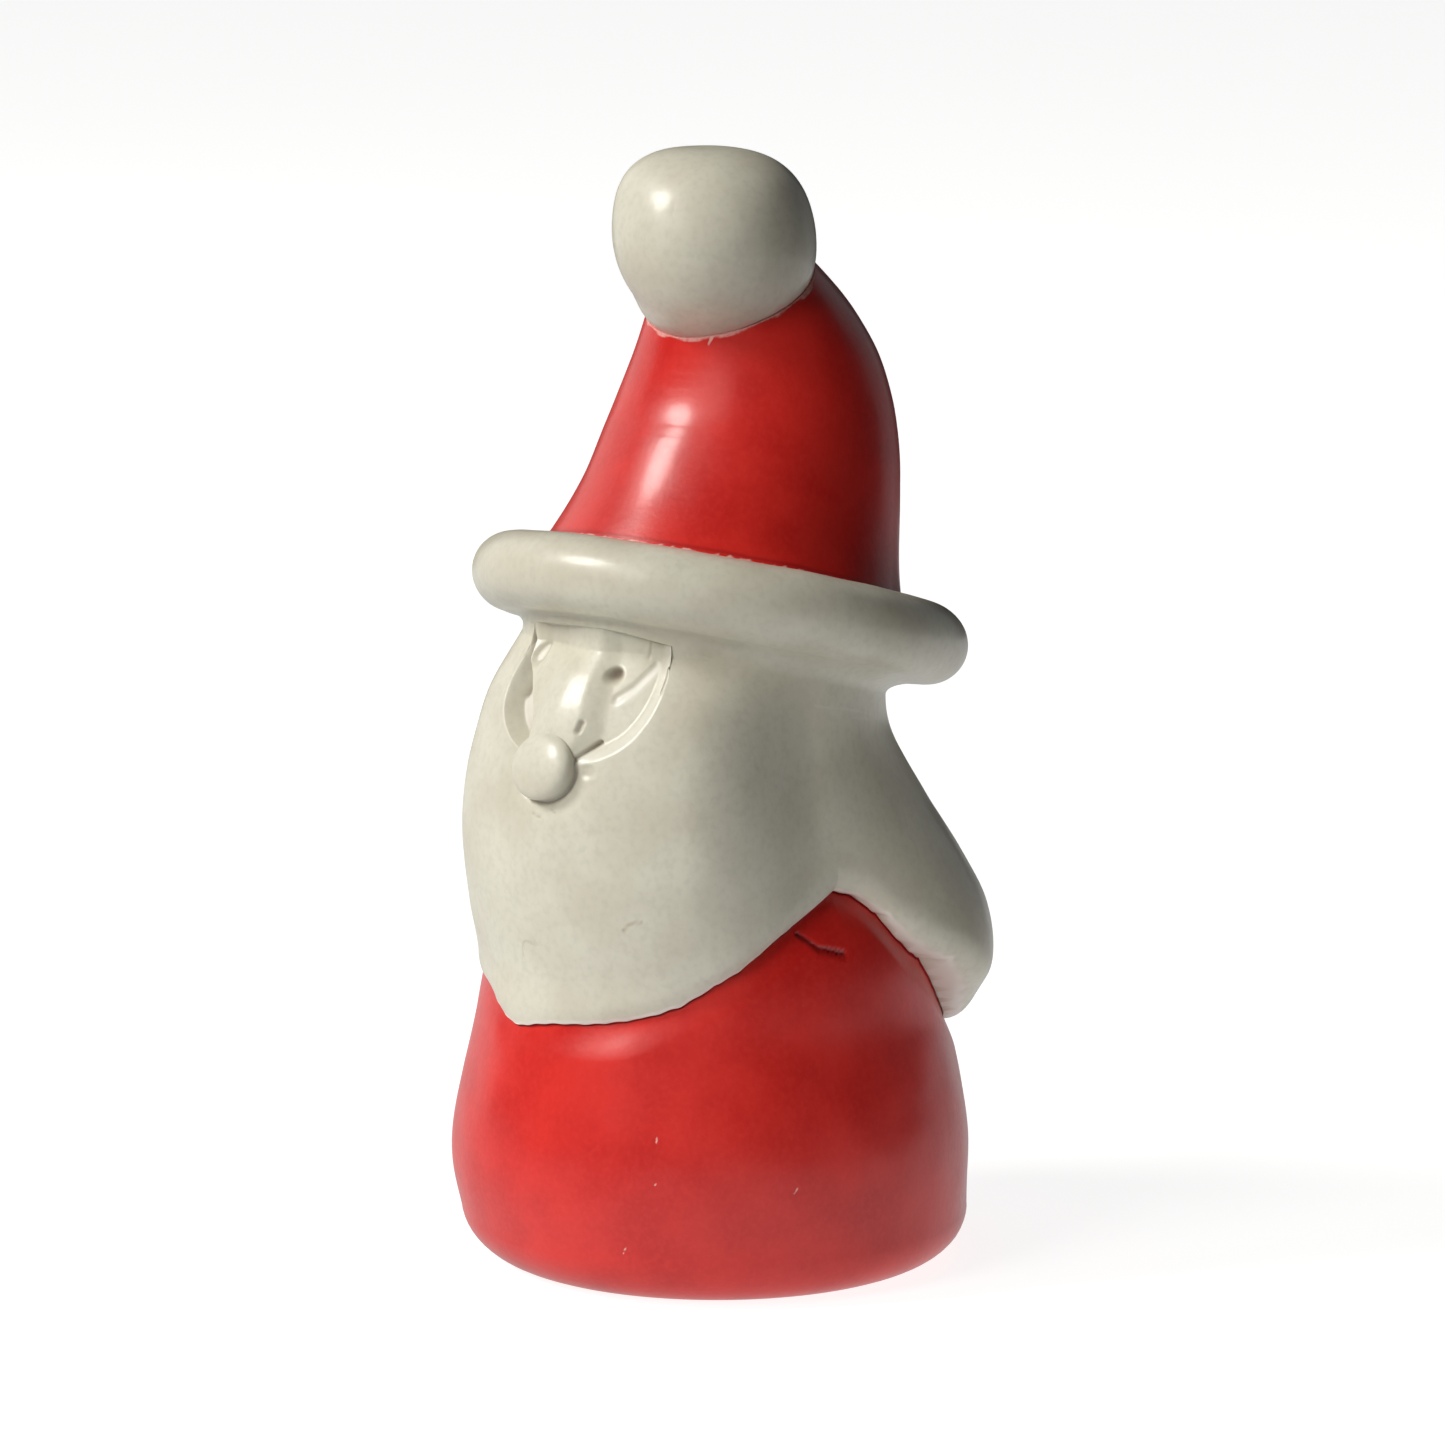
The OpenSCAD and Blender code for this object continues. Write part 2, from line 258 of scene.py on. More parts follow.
def built(name, mesh, tree, inputs):
    """A plain mesh object: what a tree of geometry nodes makes of a mesh."""
    piece = bpy.data.objects.new(name, mesh)
    bpy.context.scene.collection.objects.link(piece)
    nodes = piece.modifiers.new("nodes", "NODES")
    nodes.node_group = tree
    for socket in tree.interface.items_tree:
        if socket.in_out == "INPUT" and socket.name in inputs:
            nodes[socket.identifier] = inputs[socket.name]
    final = piece.evaluated_get(bpy.context.evaluated_depsgraph_get())
    plain = bpy.data.meshes.new_from_object(final)
    piece.modifiers.clear()
    piece.data = plain
    plain.name = name
    plain.polygons.foreach_set("use_smooth", [True] * len(plain.polygons))
    plain.set_sharp_from_angle(angle=math.radians(50))
    return piece


hand_rub = hand_rub_tree()
file_stray, rub_stray, rub_seed = 0.16, 0.06, 31.0


def rubbed(name, mesh, stone):
    """The finished piece, rubbed down by hand and given its stone."""
    inputs = {"File Stray": file_stray, "Rub Stray": rub_stray, "Seed": rub_seed, "Stone": stone}
    return built(name, mesh, hand_rub, inputs)


def stone(name, roughness_of, colour_of, wax):
    """A material for rubbed and waxed soapstone. It has the scratches of fine paper in its bump."""
    material = bpy.data.materials.new(name)
    material.use_nodes = True
    tree = material.node_tree
    shader = tree.nodes["Principled BSDF"]
    wire = Wire(tree)
    where = millimetres(wire, "ShaderNodeTexCoord", "Object")

    def noise(size, detail=2.0, stretch=(1, 1, 1)):
        spot = wire.node("ShaderNodeMapping", None, {"Vector": where, "Scale": stretch})
        values = {"Vector": spot, "Scale": 1 / size, "Detail": detail}
        return wire.node("ShaderNodeTexNoise", None, values, "Fac")

    def saved(key):
        return wire.node("ShaderNodeAttribute", {"attribute_name": key}, None, "Fac")

    scratches = noise(0.5, 2.0, (1, 1, 0.2)) + noise(0.5, 2.0, (0.25, 1, 1))
    height = scratches * 0.5 + noise(0.28, 3.0) * 0.6 + noise(0.5, 4.0) * 1.6 * saved("cut")
    bump = wire.node(
        "ShaderNodeBump", None, {"Strength": 0.35, "Distance": 0.00004, "Height": height}
    )
    tree.links.new(bump.socket, shader.inputs["Normal"])
    tree.links.new(colour_of(wire, noise, saved).socket, shader.inputs["Base Color"])
    tree.links.new(roughness_of(noise, saved).socket, shader.inputs["Roughness"])
    for key, value in wax.items():
        shader.inputs[key].default_value = value
    return material


def blended(wire, share, a, b):
    """A colour between a and b."""
    return wire.node(
        "ShaderNodeMix", {"data_type": "RGBA"}, {"Factor": share, "A": a, "B": b}, "Result"
    )


def dyed_colour(wire, noise, saved):
    """Crimson stain that went in unevenly, is thin along cut edges and is chipped in places. Its cuts are
    darkened with painted shade, partly deeper stain.
    """
    cloud = noise(6.0, 3.0).between(0.3, 0.7)
    deep = blended(wire, cloud, (0.56, 0.012, 0.009, 1), (0.68, 0.022, 0.016, 1))
    grain = noise(0.45, 4.0).between(0.35, 0.75)
    uneven = blended(wire, grain * 0.25, deep, (0.76, 0.045, 0.035, 1))
    # Painted shade, partly deeper stain: darker red in the knife groove, the gash and the band at the crown's
    # foot.
    shade_painted_in_cuts = blended(wire, saved("cut"), uneven, (0.2, 0.006, 0.008, 1))
    thin = (saved("bare") * (0.6 + noise(0.35, 3.0))).between(0.3, 0.9)
    return blended(wire, thin, shade_painted_in_cuts, (0.8, 0.42, 0.38, 1))


def dyed_roughness(noise, saved):
    """Waxed and rubbed unevenly, and duller where the stain is off."""
    return 0.3 + noise(0.6, 4.0) * 0.12 + saved("bare") * 0.12


dyed_stone = stone(
    "dyed_stone",
    dyed_roughness,
    dyed_colour,
    {"IOR": 1.5, "Coat Weight": 0.25, "Coat Roughness": 0.16},
)

robe_h = corners("robe")[1][2]
belly_r = corners("robe")[1][0]
core_r = 12.5
foot_r = 16.2
foot_round = 4.2
skirt_r = 20.8
robe_outline = [(foot_round, skirt_r), (8.5, belly_r), (20, 19.4), (robe_h - 3, 15.5), (robe_h, core_r)]

temple_at = 78
temple_drop = 3.4
beard_drop = robe_h - corners("beard")[0][2] - 0.6
hair_drop = robe_h - corners("hair")[0][2]
beard_hem = [(-temple_at, 0), (-66, 0.42), (-50, 0.73), (-28, 0.85), (-18, 1), (0, 0.95), (20, 0.87),
             (30, 0.78), (45, 0.53), (60, 0.24), (temple_at, 0)]
hair_hem = [(temple_at, 0), (86, 0.05), (98, 0.29), (108, 0.44), (125, 0.73), (134, 0.85), (155, 0.96),
            (180, 1)]
notches = [(92, 0.3), (108, 0.35), (-96, 0.3), (41, 0.12)]
notch_width = 0.9
cove_depth = [(-180, 0.35), (-90, 0.3), (-50, 0.15), (-22, 0.25), (4, 0.4), (16, 0.8), (28, 0.45), (60, 0.5),
              (100, 0.5), (135, 0.4), (180, 0.35)]
cove_h = 3.0
knife_depth = 0.16
facet_at = -24
facet_depth = 0.12
foot_shift = np.array([0.42, 0.36])
gash_path = [(64, 29.7), (69, 28.5), (76.5, 27.8)]
gash_depth, chip_depth = 0.3, 0.05
chip_places = [(28, 13.8, 0.2, 0.5), (28, 10.4, 0, 0.1), (20, 4.6, 0.8, 0.5), (63, 24.2, 1.2, 0.1),
               (58, 9.5, 1.0, 0.4), (-110, 15, 1, 0.6), (150, 8.4, 0.5, 0.3), (205, 12.6, -0.7, 0.4)]


def hem_course(angle):
    """Height of the line where the beard and the hair end on the robe."""
    a = signed(angle)
    front = (beard_drop - temple_drop) * smooth(beard_hem, a)
    back = (hair_drop - temple_drop) * smooth(hair_hem, np.abs(a))
    return robe_h - temple_drop - np.where(np.abs(a) <= temple_at, front, back)


def hem_cut(angle):
    """Height of the knife's own line, which strays from that course and is nicked."""
    a = signed(angle)
    nicks = sum(depth * np.exp(-(((a - at) / notch_width) ** 2)) for at, depth in notches)
    return hem_course(angle) + jagged(angle, 7, 0.04, 80) + nicks


def seat_r(angle, z):
    """Radius of the robe's surface, pinched in under the hem and on under the shells."""
    a = signed(angle)
    pinch = smooth(cove_depth, a) * (1 - ramp(0, cove_h, hem_course(angle) - z))
    beyond = np.clip(facet_at - a, 0, None)
    facet = facet_depth * (1 - np.exp(-beyond / 8)) * (1 - ramp(18, 45, beyond)) * ramp(9, 15, z)
    return smooth(robe_outline, z) - pinch - facet


def robe_piece():
    """The robe: a flat foot, its rounded edge, the body up to the hem, and what the shells hide."""
    angle = columns((-60, 120, 0.5), (120, 300, 1.0))
    course, hem = hem_course(angle), hem_cut(angle)
    edge = np.radians(np.linspace(0, 90, 15))[:, None]
    rise = np.linspace(0, 1, 88)[1:, None]
    last = np.linspace(0, 1, 30)[1:, None]
    hidden = np.array([0.04, 0.1, 0.2, 0.4, 0.8])[:, None]
    body = mix(foot_round, course - cove_h, rise)
    top = course - cove_h * (1 - last) ** 1.7 + (hem - course) * last**3
    under = np.concatenate([hem + hidden, mix(hem + 0.8, robe_h, np.array([[0.3], [0.6], [1]]))])
    z = np.concatenate([body, top, under])
    below = hem - z
    r = seat_r(angle, z) - knife_depth * np.exp(-((below / 0.14) ** 2)) * (below >= 0)
    gash = mark(angle, z, 17, gash_path, 0.32)
    chips = sum(mark(angle, z, 20, [(a, low), (a + lean, low + tall)], 0.12)
                for a, low, lean, tall in chip_places)
    r = r - gash_depth * gash - chip_depth * chips
    flat = place(angle, np.array([[4], [8], [12], [14.5], [15.8]]), 0)
    round_edge = place(angle, foot_r + (skirt_r - foot_r) * np.sin(edge), foot_round * (1 - np.cos(edge)))
    grid = np.concatenate([flat, round_edge, place(angle, r, z)])
    grid[..., :2] += foot_shift * (1 - ramp(0, 9, grid[..., 2:]))
    blank = np.zeros((len(grid) - len(z), len(angle)))
    # Painted shade, partly deeper stain: the cut mark darkens the gash and the knife groove just under the
    # hem.
    cut = np.concatenate([blank, np.maximum(gash, 0.45 * np.exp(-(((below - 0.08) / 0.12) ** 2)))])
    bare = np.concatenate([blank, np.clip(chips, 0, 1)])
    return rubbed("carved_robe", woven("carved_robe", grid, "points", {"cut": cut, "bare": bare}), dyed_stone)


robe = robe_piece()
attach(robe, "root")
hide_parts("robe")


# The head's core
#
# A plain plug of undyed soapstone. Its tenon stands in the robe, the beard, face and hair close
# round it, and the hat sits on its top. Nothing of it shows, so the CAD solid stays as it is.


def natural_colour(wire, noise, saved):
    """Pale grey-cream stone with faint clouds and a few dark veins, darkened with painted shade in its cuts
    and hollows, and pale on some edges, partly as painted highlight.
    """
    cloud = noise(5.5, 4.0).between(0.3, 0.7)
    warm = blended(wire, cloud, (0.62, 0.585, 0.475, 1), (0.69, 0.67, 0.56, 1))
    grain = noise(0.6, 4.0).between(0.4, 0.75)
    mottled = blended(wire, grain * 0.3, warm, (0.5, 0.475, 0.39, 1))
    lines = noise(9.0, 6.0, (1, 1, 0.6)) - 0.5
    vein = 1 - (lines * lines).between(0.0, 0.00015)
    veined = blended(wire, vein * noise(7.0).between(0.6, 0.75) * 0.35, mottled, (0.4, 0.34, 0.26, 1))
    streaked = blended(wire, saved("vein"), veined, (0.36, 0.25, 0.17, 1))
    # Painted shade: darker in the face's cuts and hollows, the eye pits and under the nose.
    shade_painted_in_hollows = blended(wire, saved("cut"), streaked, (0.27, 0.215, 0.165, 1))
    tinted = blended(wire, saved("stain"), shade_painted_in_hollows, (0.78, 0.4, 0.36, 1))
    # The pale mark is the real pale bevel and scratches, and also a painted highlight on the face's lit rim
    # and stroke wall.
    return blended(wire, saved("pale"), tinted, (0.83, 0.81, 0.74, 1))


def natural_roughness(noise, saved):
    """Waxed and rubbed unevenly, and dull in the cuts."""
    return 0.33 + noise(0.6, 4.0) * 0.12 + saved("cut") * 0.35


natural_stone = stone(
    "natural_stone",
    natural_roughness,
    natural_colour,
    {"IOR": 1.5, "Coat Weight": 0.22, "Coat Roughness": 0.16},
)
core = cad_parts["head"]
core.data.materials.clear()
core.data.materials.append(natural_stone)


# The hair
#
# Undyed soapstone that closes round the back of the core, from one temple to the other. It swells
# over the robe like a cape and is rounded under along its lower edge.

head_h = 17.4
brim_z = robe_h + head_h
neck_r = 14.6
hat_tilt = math.radians(15.6)
hat_back = 1.2
neck_at = -4.6
beard_bulge, hair_bulge, temple_bulge = 6.0, 8.6, 4.3
beard_outline = [(-1, 0.7), (-0.63, 0.74), (-0.35, 0.9), (-0.06, 1), (0.23, 0.97), (0.46, 0.84),
                 (0.69, 0.6), (0.92, 0.13)]
hair_outline = [(-1.1, 0.78), (-0.86, 0.86), (-0.63, 1), (-0.4, 0.94), (-0.17, 0.72), (0.11, 0.37),
                (0.46, 0), (0.9, 0)]
temple_outline = [(-1.2, 1), (-0.8, 0.93), (-0.46, 0.74), (-0.17, 0.53), (0.11, 0.37), (0.46, 0.14),
                  (0.9, 0.1)]
scratch_paths = [[(74, 47.6), (95, 46.4)], [(84, 47.2), (112, 45.2)], [(90, 46.1), (104, 45.4)]]
vein_path = [(20.2, 30.7), (21.6, 31.2), (24.5, 31.5)]
front_round, back_round = 1.5, 3.3
hem_lip = 0.14
fit_gap = 0.1
thin_wall = 0.5


def head_r(angle, z):
    """Radius of the beard, temples and hair as one surface, before the lower edge is rounded."""
    level = (z - robe_h) / head_h
    a = np.abs(signed(angle))
    temple = temple_bulge * smooth(temple_outline, level)
    beard = beard_bulge * smooth(beard_outline, level)
    hair = hair_bulge * smooth(hair_outline, level)
    return neck_r + temple + (beard - temple) * (1 - ramp(34, 74, a)) + (hair - temple) * ramp(74, 122, a)


def inside_r(angle, z):
    """Radius of a shell's inner wall: round the robe, then round the core."""
    robe_side = seat_r(angle, np.minimum(z, robe_h))
    return fit_gap + np.where(z < robe_h, np.maximum(robe_side, core_r - 1), core_r)


def carved_r(angle, z):
    """Radius of the finished surface, rounded in along the hem."""
    height = mix(front_round, back_round, ramp(42, 100, np.abs(signed(angle))))
    fullness = mix(1.6, 2.9, ramp(42, 100, np.abs(signed(angle))))
    above = np.clip((z - hem_course(angle)) / height, 0, 1)
    full = (1 - (1 - above) ** fullness) ** (1 / fullness)
    inner = inside_r(angle, z)
    outer, least = mix(inner + hem_lip, head_r(angle, z), full), inner + mix(0.1, thin_wall, full)
    return larger(outer, least, 0.25 * full)


def core_wall(angle, z):
    """Radius of a shell's inner wall where it stands off the core, the same all the way round."""
    return core_r + fit_gap


def neck_z(y):
    """Height of the plane under the hat, above a place that is y behind the robe's axis."""
    return brim_z + neck_at / math.cos(hat_tilt) - (y - hat_back) * math.tan(hat_tilt)


def neck_top(angle, radius):
    """Height at which a surface, whose radius depends on angle and height, meets that plane."""
    z = neck_z(-neck_r * np.cos(np.radians(angle)))
    for _ in range(6):
        z = neck_z(-radius(angle, z) * np.cos(np.radians(angle)))
    a = signed(angle)
    return z + 0.6 * ramp(-60, -20, a) * ramp(42, 8, a) - 0.5 * ramp(25, 60, a) * ramp(130, 80, a)


def shell(name, angle, top, surface, inner_top, marks_of):
    """A carved shell: for each angle a loop up its outside, over its top and down its inside."""
    low = hem_cut(angle)
    near = np.array([0, 0.04, 0.08, 0.13, 0.2, 0.28, 0.38, 0.5, 0.64, 0.8, 1, 1.25, 1.6, 2])[:, None]
    rest = 1 - (1 - np.linspace(0, 1, 104)[1:, None]) ** 1.5
    z = np.concatenate([low + near, mix(low + near[-1], top, rest)])
    outside = place(angle, surface(angle, z), z)
    over = place(angle, core_r + fit_gap, inner_top)[None]
    down = mix(np.minimum(inner_top, robe_h + 2), low, np.linspace(0, 1, 9)[:, None])
    inside = place(angle, inside_r(angle, down), down)
    grid = np.concatenate([outside, over, inside]).transpose(1, 0, 2)
    marks = {}
    for key, values in marks_of(angle, z).items():
        blank = np.zeros((len(angle), grid.shape[1] - len(z)))
        marks[key] = np.concatenate([np.broadcast_to(values, z.shape).T, blank], 1)
    return rubbed(name, woven(name, grid, "flat", marks), natural_stone)


def hem_marks(angle, z):
    """The pale bevel along the hem, with stain on it, the scratches under the hat, a vein and specks."""
    bevel = 1 - ramp(0.16, 0.42, z - hem_cut(angle))
    lines = sum(mark(angle, z, 15, path, 0.1) for path in scratch_paths)
    vein = mark(angle, z, 20, vein_path, 0.22) * 0.5
    speck = mark(angle, z, 20, [(29.5, 33.6)], 0.16) * 0.7 + mark(angle, z, 20, [(20.3, 30.6)], 0.22) * 0.4
    return {
        "pale": bevel * 0.75 + np.clip(lines, 0, 1) * 0.35,
        "stain": bevel * 0.3,
        "vein": np.clip(vein + speck, 0, 1),
        "cut": 0,
    }


def hair_piece():
    """The hair: a shell round the back, from one temple to the other."""
    angle = columns(
        (temple_at, temple_at + 4, 0.3), (temple_at + 4, 140, 0.6), (140, 220, 0.9),
        (220, 356 - temple_at, 0.7), (356 - temple_at, 360 - temple_at, 0.3),
    )
    angle = np.append(angle, 360 - temple_at)
    inner_top = neck_top(angle, core_wall)
    return shell("carved_hair", angle, neck_top(angle, carved_r), carved_r, inner_top, hem_marks)


hair = hair_piece()
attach(hair, "root")
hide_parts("hair")


# The face and the beard
#
# Two pieces of undyed soapstone that share one carved surface. The face is the field inside the
# U-shaped knife line: a flat ridge runs down it to the nose, with a hollow cut on each side and
# the eyes pricked in. The beard closes round the face and falls to a blunt tip on the robe.

face_at = 1.0
face_half = 27.5
face_top = brim_z - 0.8
face_deep = face_top - corners("face")[0][2]
face_square = 2.35
face_r = 17.0
nose_at = -2.3
nose_z = robe_h + 7.2
nose_r = 2.76
ridge_left = [(43.6, -8), (45.3, -10.5), (47.6, -14.5), (49.5, -21), (50.6, -25), (53, -29)]
ridge_right = [(43.8, 3.5), (46.3, 6), (49, 5.5), (53, 4.5)]
hollow_right, hollow_left = 0.85, 1.4
stroke = [(14.2, 48.7), (18.5, 49.6), (23.5, 51.2)]

# Lines cut round the eyes and the nose: path, half width, depth, and how dark the painted shade is in it.
face_lines = [
    ([(-27.5, 52.9), (-25, 50.9), (-23, 49.4), (-21.5, 47.8)], 0.3, 0.35, 0.75),
    ([(5.4, 43.8), (8, 44.4), (12, 45.4)], 0.3, 0.4, 0.75),
    ([(6.3, 46.2), (6.8, 46.8)], 0.38, 0.3, 0.5),
    ([(-4, 39.4), (-1.5, 39.2)], 0.14, 0.08, 0.4),
    ([(1.5, 39.9), (2.6, 39.8)], 0.14, 0.08, 0.4),
    (stroke, 0.55, 0.16, 0),
    ([(20.8, 51.8), (21.8, 53.2)], 0.3, 0.1, 0),
    ([(28.1, 51.2), (27.8, 50.3), (27, 49.4)], 0.16, 0.16, 0.35),
]


def inside_face(angle, z):
    """How far a place is inside the U-shaped line, in millimetres, and below 0 outside it."""
    across = np.abs(signed(angle) - face_at) / face_half
    down = np.clip((face_top - z) / face_deep, 0, None)
    return (1 - (across**face_square + down**face_square) ** (1 / face_square)) * face_deep


def oval(angle, z, at, height, wide, tall):
    """Distance from the middle of an oval, 1 on its line."""
    return np.hypot((angle - at) * math.radians(face_r) / wide, (z - height) / tall)


def face_cuts(angle, z):
    """Everything that is cut into the surface round the face: its depth, and how dark it is painted as shade.
    """
    a = signed(angle)
    inside = inside_face(a, z)
    from_left = a - smooth(ridge_left, z)
    from_right = a - smooth(ridge_right, z)
    right = ramp(-0.15, 1.15, inside) * ramp(-1, 7.5, from_right)
    left = ramp(-0.1, 0.55, inside) * ramp(1.2, -1.2, from_left)
    facing_left = 0.16 * face_r * np.radians(np.clip(6 - a, 0, 17)) * ramp(0, 2, inside)
    depth = hollow_right * right + hollow_left * left + facing_left
    # Painted shade in the left hollow.
    dark = 0.42 * left * ramp(0.2, 0.8, inside)
    for path, half_width, deep, shade in face_lines:
        line = mark(a, z, face_r, path, half_width)
        depth = depth + deep * line
        dark = np.maximum(dark, shade * line)
    eye = 1 - ramp(0.2, 1.2, oval(a, z, 11.5, 50.3, 0.85, 0.68))
    left_eye = 1 - ramp(0.6, 1.15, oval(a, z, -21.5, 51.0, 0.7, 1.0))
    dimple = 1 - ramp(0.4, 1.2, oval(a, z, 10.5, 43.2, 0.75, 0.6))
    depth = depth + 0.8 * eye + 0.26 * left_eye + 0.16 * dimple
    # Painted shade in the eye pits and the dimple.
    dark = np.maximum(dark, np.maximum(0.9 * eye**1.3, 0.25 * left_eye + 0.2 * dimple))
    ring = oval(a, z, nose_at, nose_z, 1, 1)
    low_side = ramp(1.5, -0.5, z - nose_z)
    groove = np.exp(-(((ring - nose_r - 0.1) / 0.15) ** 2)) * low_side
    dish = 1 - ramp(nose_r - 0.5, nose_r + 2.2, ring)
    swell = mark(a, z, face_r, [(nose_at - 1, 50), (nose_at, nose_z + 1)], 3.2)
    depth = depth + 0.16 * groove + 0.25 * dish * ramp(1, -1, inside) - 0.55 * swell * (z > nose_z)
    # Painted shadow under the nose, in the groove along its lower side only.
    dark = np.maximum(dark, 0.55 * groove)
    outer = np.exp(-(((inside + 0.85) / 0.35) ** 2)) * (a < face_at) * ramp(43.5, 46, z)
    return depth + 0.1 * outer, np.clip(dark, 0, 1)


def face_surface(angle, z):
    """Radius of the face and the beard, with everything that is cut into them."""
    return np.maximum(carved_r(angle, z) - face_cuts(angle, z)[0], core_r + 0.3)


def face_marks(angle, z):
    """The marks of the beard, with painted shade in the cuts, and a painted highlight on the lit rim and on
    the stroke's lit wall beside the face.
    """
    marks = hem_marks(angle, z)
    inside = inside_face(angle, z)
    # Painted highlight: the rim inside the U is made pale on the right side only, the side turned to the
    # lamps.
    lit_rim_highlight = np.exp(-(((inside - 0.35) / 0.4) ** 2)) * (signed(angle) > 6)
    # The cut mark carries the painted shade of the face's cuts and hollows.
    marks["cut"] = face_cuts(angle, z)[1]
    lower_wall = [(a + 0.6, height - 0.25) for a, height in stroke]
    # Painted highlight on the lower wall of the stroke, which faces the lamps.
    stroke_wall_highlight = mark(signed(angle), z, face_r, lower_wall, 0.6)
    marks["pale"] = np.clip(marks["pale"] + 0.4 * lit_rim_highlight + 0.9 * stroke_wall_highlight, 0, 1)
    return marks


face_turn = np.radians(np.linspace(-86, 86, 241))
face_angle = face_at + face_half * np.sin(face_turn)
face_low = face_top - face_deep * (1 - np.abs(np.sin(face_turn)) ** face_square) ** (1 / face_square)


def face_piece():
    """The face: for each column of angles a loop up its outside and down its flat back."""
    top = neck_top(face_angle, carved_r)
    z = mix(face_low, top, np.linspace(0, 1, 100)[:, None])
    outside = place(face_angle, face_surface(face_angle, z), z)
    inner_top = neck_top(face_angle, core_wall)
    back = [place(face_angle, core_r + fit_gap, np.maximum(inner_top, face_low + 0.2))[None],
            place(face_angle, core_r + fit_gap, face_low)[None]]
    grid = np.concatenate([outside, *back]).transpose(1, 0, 2)
    marks = {key: np.pad(np.broadcast_to(values, z.shape).T, ((0, 0), (0, 2)))
             for key, values in face_marks(face_angle, z).items()}
    return rubbed("carved_face", woven("carved_face", grid, "flat", marks), natural_stone)


def beard_piece():
    """The beard: a shell from temple to temple, whose top dips under the face."""
    left = columns((-temple_at, 4 - temple_at, 0.3), (4 - temple_at, -33, 0.6), (-33, face_angle[0], 0.25))
    right = columns((face_angle[-1], 33, 0.25), (33, temple_at - 4, 0.6), (temple_at - 4, temple_at, 0.3))
    angle = np.concatenate([left, face_angle, right[1:], [temple_at]])
    top = neck_top(angle, carved_r)
    inner_top = neck_top(angle, core_wall)
    under = slice(len(left), len(left) + len(face_angle))
    top[under] = face_low
    inner_top[under] = np.minimum(inner_top[under], face_low)
    return shell("carved_beard", angle, top, face_surface, inner_top, face_marks)


face = face_piece()
beard = beard_piece()
for piece, node in ((face, "face"), (beard, "beard")):
    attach(piece, "root")
    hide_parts(node)


# The nose
#
# A soapstone ball let into the surface on a peg, where the ridge ends in the beard.

nose_back, nose_turn, nose_wide = 9.0, 7.0, 1.2
nose_square, nose_proud = 0.86, 0.43
nose_slope = math.atan((carved_r(nose_at, nose_z - 1) - carved_r(nose_at, nose_z + 1)) / 2)


def turned(outline, count):
    """Points of a turned piece on its own axis, from an outline of (radius, height) points."""
    turn = np.radians(np.arange(count) * 360 / count)
    r, up = np.array(outline, float).T[:, :, None]
    return np.stack(np.broadcast_arrays(r * np.sin(turn), -r * np.cos(turn), up), -1)


def leaned(points, middle, lean, turn=0.0):
    """Points turned about X by lean, then about Z by turn, and moved to their middle."""
    cl, sl, ct, st = math.cos(lean), math.sin(lean), math.cos(turn), math.sin(turn)
    about_x = np.array([[1, 0, 0], [0, cl, -sl], [0, sl, cl]])
    about_z = np.array([[ct, -st, 0], [st, ct, 0], [0, 0, 1]])
    return points @ (about_z @ about_x).T + middle


def nose_piece():
    """The nose: a flattened half ball and the peg behind it."""
    turn = np.radians(np.linspace(0, 88, 60))
    round_r, proud = np.cos(turn) ** nose_square, nose_proud * np.sin(turn) ** nose_square
    ball = [(nose_r * r, nose_r * up) for r, up in zip(round_r, proud)]
    peg = [(1.2, -nose_r * 0.9), (1.2, -1.2), (nose_r * 0.9, -0.9)]
    grid = turned(peg + ball, 120)
    middle = place(nose_at, float(carved_r(nose_at, nose_z)) - 0.05, nose_z)
    grid = grid * (nose_wide, 1, 1)
    lean = math.radians(90 - nose_back) - nose_slope
    points = leaned(grid, middle, lean, math.radians(nose_at - nose_turn))
    marks = {"cut": 0, "pale": 0, "stain": 0, "vein": 0}
    return rubbed("nose_ball", woven("nose_ball", points, "points", marks), natural_stone)


nose = nose_piece()
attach(nose, "root")
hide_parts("nose")


# The hat's brim
#
# A ring of undyed soapstone with a fat rolled edge. It sits tipped back on the core's tenon, is
# faired into the head below, and is hollowed a little where the crown stands on it.

brim_r = corners("hat_brim")[1][0]
roll_r = 3.2
tube_at = brim_r - roll_r
bore_r = 7.1
crown_r = 14.6
seat_at = roll_r
hat_middle = np.array([0, hat_back, brim_z])
hat_up = np.array([0, math.sin(hat_tilt), math.cos(hat_tilt)])
hat_back_way = np.array([0, math.cos(hat_tilt), -math.sin(hat_tilt)])


def on_hat(points):
    """Angle, radius and height of points in the hat's own frame."""
    rel = points - hat_middle
    x, y, up = rel[..., 0], rel @ hat_back_way, rel @ hat_up
    return np.arctan2(x, -y), np.hypot(x, y), up


def off_hat(turn, r, up):
    """Points from their angle, radius and height in the hat's own frame."""
    side = (r * np.sin(turn))[..., None] * np.array([1, 0, 0])
    back = (-r * np.cos(turn))[..., None] * hat_back_way
    return hat_middle + side + back + up[..., None] * hat_up


